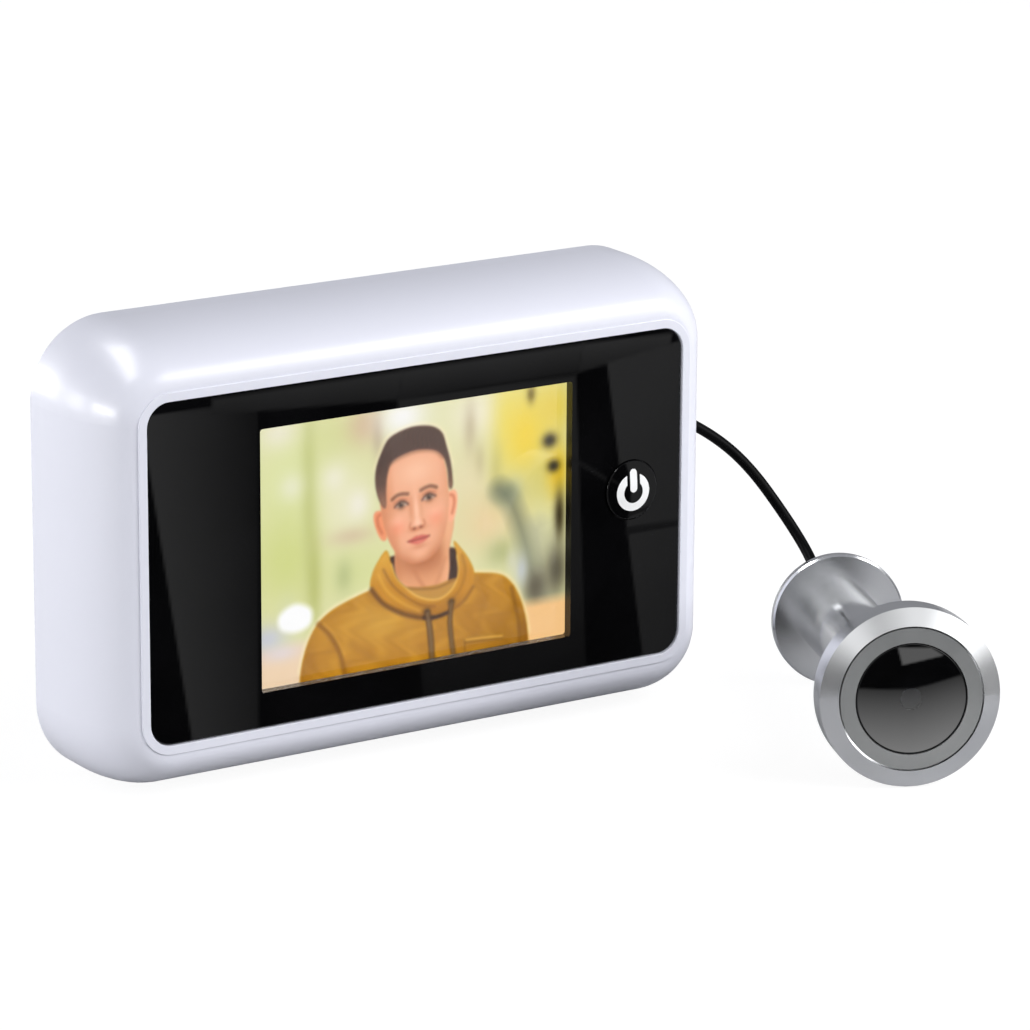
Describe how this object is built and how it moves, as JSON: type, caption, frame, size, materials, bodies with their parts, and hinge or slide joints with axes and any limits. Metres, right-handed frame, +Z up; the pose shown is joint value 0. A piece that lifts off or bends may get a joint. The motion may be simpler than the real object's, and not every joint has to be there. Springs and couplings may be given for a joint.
{
  "type": "peephole door camera",
  "caption": "Peephole camera with a polished round head and screw sleeve, cabled to a white handheld-size display unit with a black panel, screen and power button.",
  "frame": {"origin": "on the surface it stands on, at the middle of the display unit's flat foot band", "axes": "+Z up, +X to the right seen from the front, -Y the side that the screen faces"},
  "size_m": [0.1594, 0.1052, 0.08],
  "materials": {
    "case_white": "glossy pearl white",
    "panel_black": "high gloss black",
    "foam_black": "matt foam tape",
    "screen_glass": "clear cover glass",
    "liquid_crystal": "dark glass cell",
    "backlight_white": "matt white diffuser",
    "sheet_steel": "pressed sheet",
    "ribbon_amber": "polyimide film",
    "socket_cream": "matt connector plastic",
    "board_green": "solder mask",
    "screw_steel": "zinc plated",
    "chip_black": "matt epoxy",
    "part_ceramic": "ceramic and tin",
    "switch_black": "matt plastic",
    "symbol_white": "white inlay",
    "cover_white": "fine texture",
    "cell_jacket": "plain metal jacket",
    "contact_nickel": "nickel plated",
    "bracket_steel": "light grey coat",
    "cable_black": "satin black",
    "polished_chrome": "mirror polish",
    "ring_grey": "matt mid grey",
    "lens_glass": "dark tinted glass",
    "baffle_black": "dull black",
    "lens_clear": "coated lens",
    "tube_brass": "nickel plated brass",
    "gasket_rubber": "soft rubber"
  },
  "bodies": {
    "display_unit": {"front_housing": "case_white", "front_panel": "panel_black", "panel_tape": "foam_black", "display_glass": "screen_glass", "lcd_panel": "liquid_crystal", "backlight": "backlight_white", "display_frame": "sheet_steel", "display_foam": "foam_black", "display_ribbon": "ribbon_amber", "ribbon_socket": "socket_cream", "main_board": "board_green", "board_screws": "screw_steel", "processor_chip": "chip_black", "memory_chip": "chip_black", "board_parts": "part_ceramic", "switch_body": "switch_black", "rear_cover": "cover_white", "case_screws": "screw_steel", "battery_cells": "cell_jacket", "battery_plates": "contact_nickel", "battery_springs": "contact_nickel", "camera_socket": "socket_cream", "camera_plug": "cable_black", "camera_cable": "cable_black"},
    "camera": {"camera_head": "polished_chrome", "lens_ring": "ring_grey", "front_glass": "lens_glass", "lens_baffle": "baffle_black", "lens_barrel": "baffle_black", "front_lens": "lens_clear", "image_sensor": "chip_black", "sensor_board": "board_green", "camera_lead": "cable_black", "threaded_tube": "tube_brass", "head_gasket": "gasket_rubber"},
    "sleeve": {"barrel_sleeve": "polished_chrome", "rear_grommet": "gasket_rubber"},
    "bracket": {"door_bracket": "bracket_steel"},
    "button": {"power_button": "panel_black", "power_symbol": "symbol_white"},
    "plunger": {"switch_plunger": "switch_black"},
    "battery_cover": {"battery_door": "cover_white"}
  },
  "joints": [
    {"name": "bracket_lift", "type": "slide", "parent": "display_unit", "child": "bracket", "axis": [0, 0, -1], "range_m": [0, 0.005]},
    {"name": "button_press", "type": "slide", "parent": "display_unit", "child": "button", "axis": [0, 1, 0], "range_m": [0, 0.00035], "stiffness_N_per_m": 2000, "springref_m": -0.0003},
    {"name": "switch_press", "type": "slide", "parent": "display_unit", "child": "plunger", "axis": [0, 1, 0], "range_m": [0, 0.00035]},
    {"name": "battery_cover_hinge", "type": "hinge", "parent": "display_unit", "child": "battery_cover", "pos_m": [-0.0394, 0.00175, 0.0139], "axis": [-1, 0, 0], "range_deg": [0, 75]},
    {"name": "camera_slide", "type": "slide", "parent": "display_unit", "child": "camera", "axis": [-0.41, -0.9097, 0.0653], "range_m": [-0.0035, 0.026]},
    {"name": "sleeve_turn", "type": "hinge", "parent": "display_unit", "child": "sleeve", "pos_m": [0.08587, -0.02499, 0.01203], "axis": [-0.41, -0.9097, 0.0653], "range_deg": [-9361, 1261]}
  ],
  "couplings": [
    {"joint": "switch_press", "follows": "button_press", "ratio": 1},
    {"joint": "sleeve_turn", "follows": "camera_slide", "rad_per_m": -6283.2}
  ]
}
